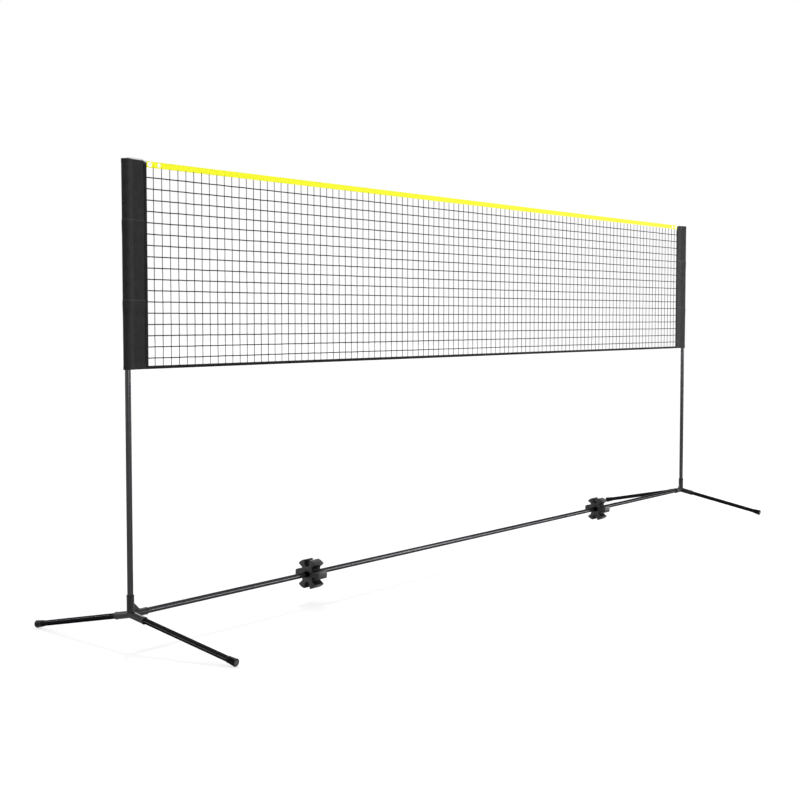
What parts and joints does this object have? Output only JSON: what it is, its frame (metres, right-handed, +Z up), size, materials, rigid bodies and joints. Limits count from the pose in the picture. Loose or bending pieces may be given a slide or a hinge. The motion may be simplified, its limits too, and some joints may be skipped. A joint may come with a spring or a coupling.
{
  "type": "multisport net",
  "caption": "Long free-standing net with a bright top band and cloth sleeves on telescoping posts, on a knock-down tube stand with splayed legs.",
  "frame": {"origin": "on the floor, under the middle of the crossbar", "axes": "+X along the crossbar and the net, +Y along the rear legs, +Z up"},
  "size_m": [4.1062, 0.9226, 1.5553],
  "materials": {
    "black_powder_coat": "satin",
    "black_moulded_nylon": "fine moulded grain",
    "dark_grey_hub_plastic": "fine moulded grain",
    "black_foot_rubber": "matt",
    "spring_steel": "plain spring steel",
    "black_sleeve_cloth": "woven",
    "black_binding_tape": "woven tape",
    "black_net_cord": "twisted cord",
    "yellow_band": "coated woven band",
    "black_hem_band": "woven band",
    "pale_grey_cord": "braided cord",
    "nickel_eyelet": "plated"
  },
  "bodies": {
    "stand": {"corner_socket_left": "black_moulded_nylon", "corner_socket_right": "black_moulded_nylon", "lower_post_left": "black_powder_coat", "lower_post_right": "black_powder_coat", "crossbar_section_1": "black_powder_coat", "crossbar_section_2": "black_powder_coat", "crossbar_section_3": "black_powder_coat", "crossbar_section_4": "black_powder_coat"},
    "net_carriage": {"upper_post_left": "black_powder_coat", "upper_post_right": "black_powder_coat", "post_top_plug_left": "black_moulded_nylon", "post_top_plug_right": "black_moulded_nylon", "sleeve_left": "black_sleeve_cloth", "sleeve_right": "black_sleeve_cloth", "side_binding_left": "black_binding_tape", "side_binding_right": "black_binding_tape", "tension_cord_left": "pale_grey_cord", "tension_cord_right": "pale_grey_cord", "slot_eyelet_left": "nickel_eyelet", "slot_eyelet_right": "nickel_eyelet", "round_eyelet_left": "nickel_eyelet", "round_eyelet_right": "nickel_eyelet", "net_mesh": "black_net_cord", "top_band": "yellow_band", "bottom_hem": "black_hem_band"},
    "left_button": {"spring_clip_left": "spring_steel"},
    "right_button": {"spring_clip_right": "spring_steel"},
    "front_left_leg": {"leg_front_left": "black_powder_coat", "foot_cap_front_left": "black_foot_rubber"},
    "front_right_leg": {"leg_front_right": "black_powder_coat", "foot_cap_front_right": "black_foot_rubber"},
    "rear_left_leg": {"leg_rear_left": "black_powder_coat", "foot_cap_rear_left": "black_foot_rubber"},
    "rear_right_leg": {"leg_rear_right": "black_powder_coat", "foot_cap_rear_right": "black_foot_rubber"},
    "left_hub": {"storage_hub_left": "dark_grey_hub_plastic"},
    "right_hub": {"storage_hub_right": "dark_grey_hub_plastic"}
  },
  "joints": [
    {"name": "net_height", "type": "slide", "parent": "stand", "child": "net_carriage", "axis": [0, 0, 1], "range_m": [-0.636, 0]},
    {"name": "left_button_press", "type": "slide", "parent": "net_carriage", "child": "left_button", "axis": [0, -1, 0], "range_m": [0, 0.0036], "stiffness_N_per_m": 1500, "deforming": ["spring_clip_left"]},
    {"name": "right_button_press", "type": "slide", "parent": "net_carriage", "child": "right_button", "axis": [0, -1, 0], "range_m": [0, 0.0036], "stiffness_N_per_m": 1500, "deforming": ["spring_clip_right"]},
    {"name": "front_left_leg_pull", "type": "slide", "parent": "stand", "child": "front_left_leg", "axis": [0, -0.981, -0.1942], "range_m": [0, 0.058]},
    {"name": "front_right_leg_pull", "type": "slide", "parent": "stand", "child": "front_right_leg", "axis": [0, -0.981, -0.1942], "range_m": [0, 0.058]},
    {"name": "rear_left_leg_pull", "type": "slide", "parent": "stand", "child": "rear_left_leg", "axis": [0, 0.981, -0.1942], "range_m": [0, 0.058]},
    {"name": "rear_right_leg_pull", "type": "slide", "parent": "stand", "child": "rear_right_leg", "axis": [0, 0.981, -0.1942], "range_m": [0, 0.058]},
    {"name": "left_hub_slide", "type": "slide", "parent": "stand", "child": "left_hub", "axis": [1, 0, 0], "range_m": [-0.8, 1.1]},
    {"name": "right_hub_slide", "type": "slide", "parent": "stand", "child": "right_hub", "axis": [1, 0, 0], "range_m": [-1.05, 0.86]}
  ]
}
